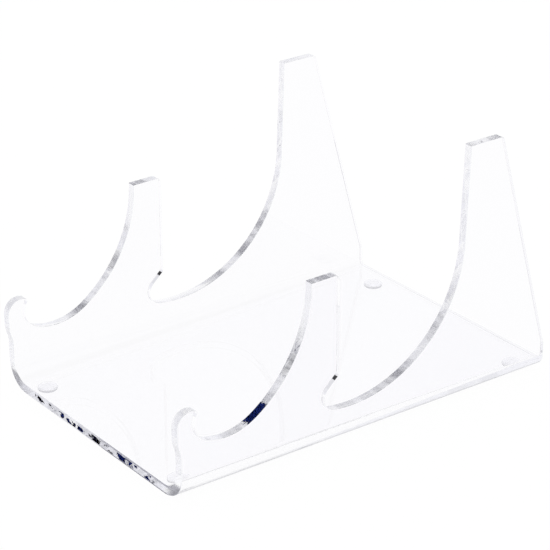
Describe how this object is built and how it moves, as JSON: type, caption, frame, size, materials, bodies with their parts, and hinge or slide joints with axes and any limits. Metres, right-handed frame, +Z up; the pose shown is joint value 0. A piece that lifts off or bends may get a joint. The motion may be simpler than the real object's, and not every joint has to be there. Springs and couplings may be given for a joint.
{
  "type": "plate display stand",
  "caption": "Clear acrylic plate display stand: a bent sheet channel whose side panels hold a small plate in front of a larger one, on round bumper feet.",
  "frame": {"origin": "on the floor, at the centre of the stand's footprint", "axes": "+Z up, -Y towards the viewer's side (the hooked lips), +X across the stand to its right as seen from the front"},
  "size_m": [0.14, 0.2126, 0.1278],
  "materials": {
    "clear_acrylic": "polished clear cast acrylic sheet, flame-polished edges",
    "clear_bumper": "clear soft polyurethane, glossy",
    "adhesive": "clear pressure-sensitive adhesive film"
  },
  "bodies": {
    "root": {"acrylic_body": "clear_acrylic", "foot_front_left": "clear_bumper", "foot_front_right": "clear_bumper", "foot_rear_left": "clear_bumper", "foot_rear_right": "clear_bumper", "adhesive_front_left": "adhesive", "adhesive_front_right": "adhesive", "adhesive_rear_left": "adhesive", "adhesive_rear_right": "adhesive"}
  },
  "joints": []
}
